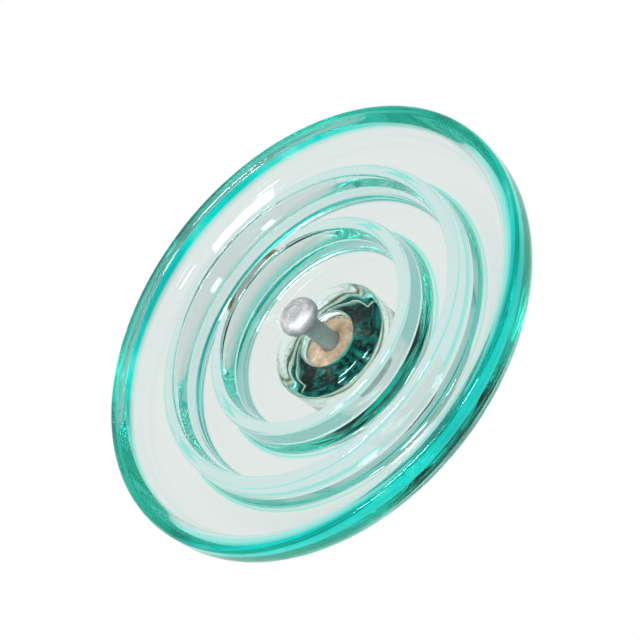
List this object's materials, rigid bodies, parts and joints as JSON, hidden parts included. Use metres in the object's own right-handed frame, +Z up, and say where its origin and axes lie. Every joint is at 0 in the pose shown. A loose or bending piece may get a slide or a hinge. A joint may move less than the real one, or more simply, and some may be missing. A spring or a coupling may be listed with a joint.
{
  "type": "glass suspension insulator",
  "caption": "Cap-and-pin suspension insulator: a wide toughened-glass disc ribbed underneath, with a ball socket cap above and a ball-ended pin below.",
  "frame": {"origin": "middle of the ball seat in the cap's socket, where the fitting above carries the insulator", "axes": "+Z up along the insulator's axis as it hangs in service, from the pin's ball to the cap; -Y out of the mouth of the socket; +Y to the eye of the split pin"},
  "size_m": [0.4, 0.4, 0.1499],
  "materials": {
    "toughened_glass": "polished",
    "galvanised_iron": "matte",
    "galvanised_steel": "satin",
    "cement": "matte",
    "bitumen": "satin",
    "cork": "matte",
    "bronze": "satin"
  },
  "bodies": {
    "insulator": {"glass_shell": "toughened_glass", "cap": "galvanised_iron", "cap_lining": "bitumen", "cap_cement": "cement", "cap_cushion": "cork", "pin": "galvanised_steel", "pin_coat": "bitumen", "pin_cement": "cement", "pin_cushion": "cork"},
    "clip": {"locking_clip": "bronze"}
  },
  "joints": [
    {"name": "clip_slide", "type": "slide", "parent": "insulator", "child": "clip", "axis": [0, 1, 0], "range_m": [0, 0.025]}
  ]
}
